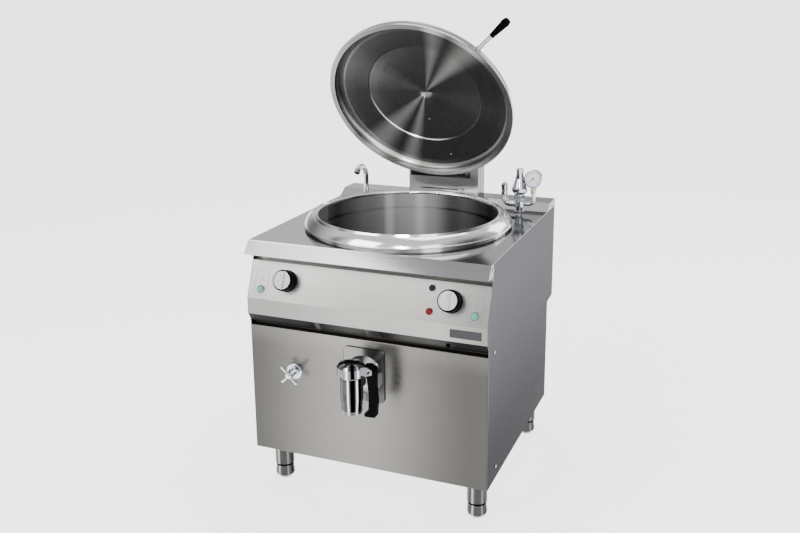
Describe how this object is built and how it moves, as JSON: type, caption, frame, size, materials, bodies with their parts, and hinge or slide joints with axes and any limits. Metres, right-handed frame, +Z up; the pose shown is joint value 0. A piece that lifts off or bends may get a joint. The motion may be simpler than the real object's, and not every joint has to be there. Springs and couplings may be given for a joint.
{
  "type": "steam jacketed kettle",
  "caption": "Indirectly heated boiling pan: round steam-jacketed vessel with hinged domed lid in a steel cabinet on four feet, with drain tap, filling spout and safety group.",
  "frame": {"origin": "on the floor, at the middle of the bounding box seen from above", "axes": "+X to the operator's right, +Y to the back, +Z up; the lid is stored open"},
  "size_m": [0.804, 0.943, 1.5298],
  "materials": {
    "brushed": "satin brushed stainless steel",
    "polished": "bright polished stainless steel",
    "chrome": "bright chromed brass",
    "brass": "turned brass",
    "black_plastic": "black heat-resistant plastic",
    "green": "glossy green lens",
    "red": "glossy red lens",
    "white": "matt white",
    "glass": "clear",
    "galvanised": "zinc-coated steel",
    "wool": "mineral wool",
    "needle_black": "matt black"
  },
  "bodies": {
    "cabinet": {"worktop": "brushed", "left_side_panel": "brushed", "right_side_panel": "brushed", "front_panel": "brushed", "control_panel": "brushed", "recess_channel": "brushed", "back_panel": "brushed", "bottom_tray": "galvanised", "base_frame": "galvanised", "vessel": "polished", "rim_ring": "polished", "steam_jacket": "brushed", "insulation": "wool", "heating_elements": "brushed", "jacket_pipes": "brushed", "drain_pipe": "brushed", "tap_plate": "brushed", "tap_body": "chrome", "tap_cap": "chrome", "level_tap_body": "chrome", "spout_socket": "chrome", "safety_manifold": "chrome", "safety_valve_body": "chrome", "vacuum_valve": "brass", "gauge_case": "chrome", "gauge_dial": "white", "gauge_glass": "glass", "electrical_units": "black_plastic", "indicator_bezels": "chrome", "lamp_green": "green", "lamp_red": "red", "blank_plate": "brushed", "panel_screws": "polished", "hinge_housing": "brushed", "hinge_blocks": "brushed", "balance_springs": "galvanised", "cable_gland": "black_plastic", "water_inlets": "brass"},
    "lid": {"lid_dish": "polished", "lid_shell": "polished", "lid_arms": "polished", "hinge_shaft": "polished", "handle_rod": "polished", "handle_grip": "black_plastic"},
    "left_switch": {"left_knob": "black_plastic", "left_knob_cap": "polished"},
    "right_switch": {"right_knob": "black_plastic", "right_knob_cap": "polished"},
    "left_push": {"left_button": "green"},
    "right_push": {"right_button": "green"},
    "level_wheel": {"level_handle": "chrome"},
    "drain_lever": {"tap_lever": "black_plastic"},
    "drain_plunger": {"tap_plunger": "polished"},
    "filling_spout": {"spout": "chrome"},
    "needle": {"gauge_needle": "needle_black"},
    "safety_cap": {"safety_valve_cap": "chrome"},
    "leg_front_left": {"foot_front_left": "brushed"},
    "leg_back_left": {"foot_back_left": "brushed"},
    "leg_front_right": {"foot_front_right": "brushed"},
    "leg_back_right": {"foot_back_right": "brushed"}
  },
  "joints": [
    {"name": "lid_hinge", "type": "hinge", "parent": "cabinet", "child": "lid", "pos_m": [0, 0.402, 0.966], "axis": [1, 0, 0], "range_deg": [0, 58]},
    {"name": "left_switch_turn", "type": "hinge", "parent": "cabinet", "child": "left_switch", "pos_m": [-0.266, -0.32313, 0.72664], "axis": [0, -0.9274, 0.3742], "range_deg": [-270, 0]},
    {"name": "right_switch_turn", "type": "hinge", "parent": "cabinet", "child": "right_switch", "pos_m": [0.28, -0.32313, 0.72664], "axis": [0, -0.9274, 0.3742], "range_deg": [-270, 0]},
    {"name": "left_button_push", "type": "slide", "parent": "cabinet", "child": "left_push", "axis": [0, 0.9274, -0.3742], "range_m": [0, 0.003], "stiffness_N_per_m": 400, "springref_m": -0.002},
    {"name": "right_button_push", "type": "slide", "parent": "cabinet", "child": "right_push", "axis": [0, 0.9274, -0.3742], "range_m": [0, 0.003], "stiffness_N_per_m": 400, "springref_m": -0.002},
    {"name": "level_wheel_turn", "type": "hinge", "parent": "cabinet", "child": "level_wheel", "pos_m": [-0.244, -0.375, 0.432], "axis": [0, -1, 0], "range_deg": [0, 540]},
    {"name": "drain_lever_swing", "type": "hinge", "parent": "cabinet", "child": "drain_lever", "pos_m": [0.066, -0.428, 0.52], "axis": [0, -1, 0], "range_deg": [0, 75]},
    {"name": "drain_plunger_lift", "type": "slide", "parent": "cabinet", "child": "drain_plunger", "axis": [0, 0, 1], "range_m": [0, 0.0125]},
    {"name": "spout_swing", "type": "hinge", "parent": "cabinet", "child": "filling_spout", "pos_m": [-0.275, 0.313, 0.85], "axis": [0, 0, 1], "range_deg": [-95, 0]},
    {"name": "needle_turn", "type": "hinge", "parent": "cabinet", "child": "needle", "pos_m": [0.357, 0.3104, 0.973], "axis": [0, -1, 0], "range_deg": [-270, 0]},
    {"name": "safety_lift", "type": "slide", "parent": "cabinet", "child": "safety_cap", "axis": [0, 0, 1], "range_m": [0, 0.004], "stiffness_N_per_m": 2000, "springref_m": -0.002},
    {"name": "foot_front_left_reach", "type": "slide", "parent": "cabinet", "child": "leg_front_left", "axis": [0, 0, -1], "range_m": [0, 0.03]},
    {"name": "foot_back_left_reach", "type": "slide", "parent": "cabinet", "child": "leg_back_left", "axis": [0, 0, -1], "range_m": [0, 0.03]},
    {"name": "foot_front_right_reach", "type": "slide", "parent": "cabinet", "child": "leg_front_right", "axis": [0, 0, -1], "range_m": [0, 0.03]},
    {"name": "foot_back_right_reach", "type": "slide", "parent": "cabinet", "child": "leg_back_right", "axis": [0, 0, -1], "range_m": [0, 0.03]}
  ],
  "couplings": [
    {"joint": "drain_plunger_lift", "follows": "drain_lever_swing", "m_per_rad": 0.009167}
  ]
}
